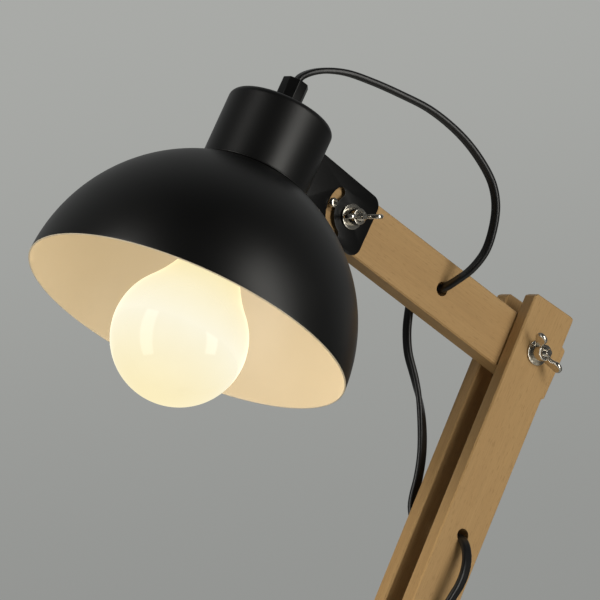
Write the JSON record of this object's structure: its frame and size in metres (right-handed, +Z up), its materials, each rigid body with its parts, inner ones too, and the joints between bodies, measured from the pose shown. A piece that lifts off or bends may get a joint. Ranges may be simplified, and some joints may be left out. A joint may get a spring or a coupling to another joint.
{
  "type": "adjustable arm floor lamp",
  "caption": "Floor lamp with a round base, wooden post and jointed wooden arms clamped by wing nuts, carrying a black domed metal shade.",
  "frame": {"origin": "centre of the base's underside, on the floor below the post", "axes": "+Z up along the post; the arms swing in the XZ plane, and at rest the planks lean towards +X and the head reaches back towards -X; -Y is the side of the wing nuts"},
  "size_m": [0.4422, 0.5, 1.4102],
  "materials": {
    "beech": "satin, clear oiled beech",
    "black_coat": "satin black powder coat",
    "shade_coat": "satin black outside, warm cream inside",
    "zinc": "bright zinc plate",
    "brass": "satin brass",
    "black_plastic": "fine matte black",
    "white_plastic": "matte",
    "fibre": "dark vulcanised fibre",
    "cord_sheath": "satin black flat flex",
    "felt": "dense black felt",
    "opal": "opal glass, lit"
  },
  "bodies": {
    "stand": {"base_pad": "felt", "base_disc": "black_coat", "post_socket": "black_coat", "base_screws": "zinc", "socket_screws": "zinc", "post": "beech", "shoulder_friction_washers": "fibre", "post_cord_clips": "black_plastic", "cord_post": "cord_sheath", "cord_lead": "cord_sheath", "cord_coil": "cord_sheath", "cord_tail": "cord_sheath", "switch_base": "black_plastic", "switch_cover": "black_plastic", "switch_module": "white_plastic", "plug_boot": "black_plastic", "plug_body": "black_plastic", "plug_pins": "zinc"},
    "plank_pair": {"front_plank": "beech", "back_plank": "beech", "plank_spacer": "beech", "spacer_screws": "zinc", "plank_cord_clip": "black_plastic", "shoulder_bolt": "zinc", "shoulder_washer": "zinc", "elbow_bolt": "zinc", "elbow_washer": "zinc", "cord_shoulder": "cord_sheath"},
    "arm": {"upper_arm": "beech", "elbow_friction_washers": "fibre", "head_friction_washer": "fibre", "head_bolt": "zinc", "head_washer": "zinc", "tilt_limit_screw": "zinc", "cord_head": "cord_sheath", "cord_elbow": "cord_sheath"},
    "head": {"bracket_plate": "black_coat", "bracket_rivets": "black_coat", "neck_cup": "black_coat", "shade_dome": "shade_coat", "threaded_tube": "brass", "tube_nuts": "zinc", "cord_grip": "black_plastic", "grip_screw": "zinc", "lampholder_cap": "black_plastic", "lampholder_skirt": "black_plastic", "lampholder_shell": "brass", "lampholder_contact": "brass", "bulb_globe": "opal", "bulb_cap": "zinc", "bulb_contact": "brass"},
    "shoulder_nut": {"shoulder_wing_nut": "zinc"},
    "elbow_nut": {"elbow_wing_nut": "zinc"},
    "head_nut": {"head_wing_nut": "zinc"},
    "button": {"switch_button": "black_plastic"}
  },
  "joints": [
    {"name": "shoulder", "type": "hinge", "parent": "stand", "child": "plank_pair", "pos_m": [0, 0, 0.86], "axis": [0, 1, 0], "range_deg": [-60, 30], "deforming": ["cord_shoulder"]},
    {"name": "elbow", "type": "hinge", "parent": "plank_pair", "child": "arm", "pos_m": [0.18779, 0, 1.21318], "axis": [0, 1, 0], "range_deg": [-25, 50], "deforming": ["cord_elbow"]},
    {"name": "head_tilt", "type": "hinge", "parent": "arm", "child": "head", "pos_m": [0.02839, 0, 1.30707], "axis": [0, 1, 0], "range_deg": [-36, 72], "deforming": ["cord_head"]},
    {"name": "shoulder_nut_turn", "type": "hinge", "parent": "plank_pair", "child": "shoulder_nut", "pos_m": [0, -0.022, 0.86], "axis": [0, 1, 0], "range_deg": [-30, 360]},
    {"name": "elbow_nut_turn", "type": "hinge", "parent": "plank_pair", "child": "elbow_nut", "pos_m": [0.18779, -0.022, 1.21318], "axis": [0, 1, 0], "range_deg": [-30, 360]},
    {"name": "head_nut_turn", "type": "hinge", "parent": "arm", "child": "head_nut", "pos_m": [0.02839, -0.013, 1.30707], "axis": [0, 1, 0], "range_deg": [-30, 360]},
    {"name": "switch_press", "type": "slide", "parent": "stand", "child": "button", "axis": [0, 0, -1], "range_m": [0, 0.003], "stiffness_N_per_m": 1500, "springref_m": -0.001}
  ]
}
